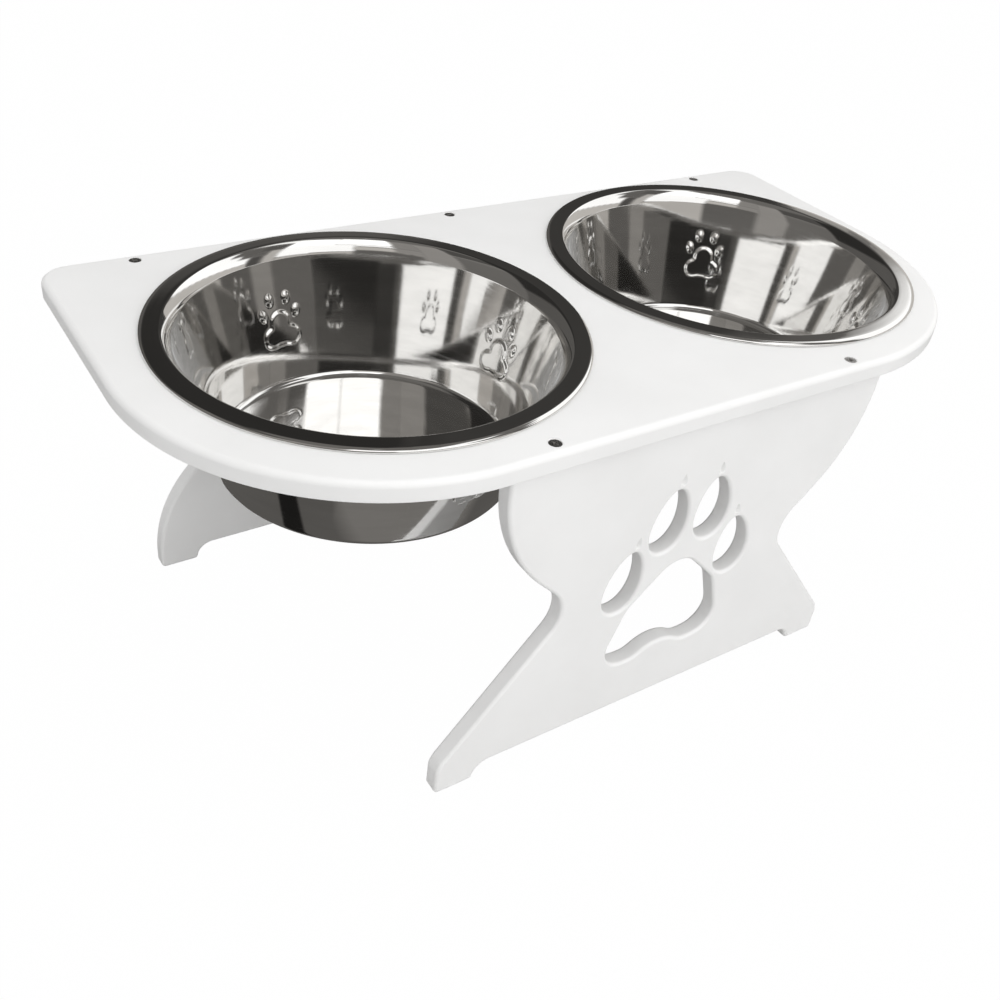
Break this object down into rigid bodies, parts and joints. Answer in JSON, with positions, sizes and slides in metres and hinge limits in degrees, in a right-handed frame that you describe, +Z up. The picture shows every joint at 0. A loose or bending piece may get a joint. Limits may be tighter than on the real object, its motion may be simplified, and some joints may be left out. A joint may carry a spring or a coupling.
{
  "type": "raised dog feeder stand",
  "caption": "Raised feeder: a rounded plastic table on cut-out leg panels, with drawn steel bowls that hang by their rims in round holes and lift out.",
  "frame": {"origin": "on the floor under the middle of the table top", "axes": "+X along the row of bowls to the right as seen from the front, +Y to the back, +Z up"},
  "size_m": [0.61, 0.305, 0.2597],
  "materials": {
    "white_sheet": "satin white polyethylene sheet with rounded edges",
    "polished_steel": "polished drawn stainless steel with fine polishing lines",
    "screw_steel": "plain stainless screw"
  },
  "bodies": {
    "stand": {"top_panel": "white_sheet", "front_leg_panel": "white_sheet", "rear_leg_panel": "white_sheet", "screw_front_left": "screw_steel", "screw_front_right": "screw_steel", "screw_rear_left": "screw_steel", "screw_rear_middle": "screw_steel", "screw_rear_right": "screw_steel"},
    "left_bowl": {"left_bowl": "polished_steel"},
    "right_bowl": {"right_bowl": "polished_steel"}
  },
  "joints": [
    {"name": "left_bowl_lift", "type": "slide", "parent": "stand", "child": "left_bowl", "axis": [0, 0, 1], "range_m": [0, 0.1]},
    {"name": "right_bowl_lift", "type": "slide", "parent": "stand", "child": "right_bowl", "axis": [0, 0, 1], "range_m": [0, 0.1]}
  ]
}
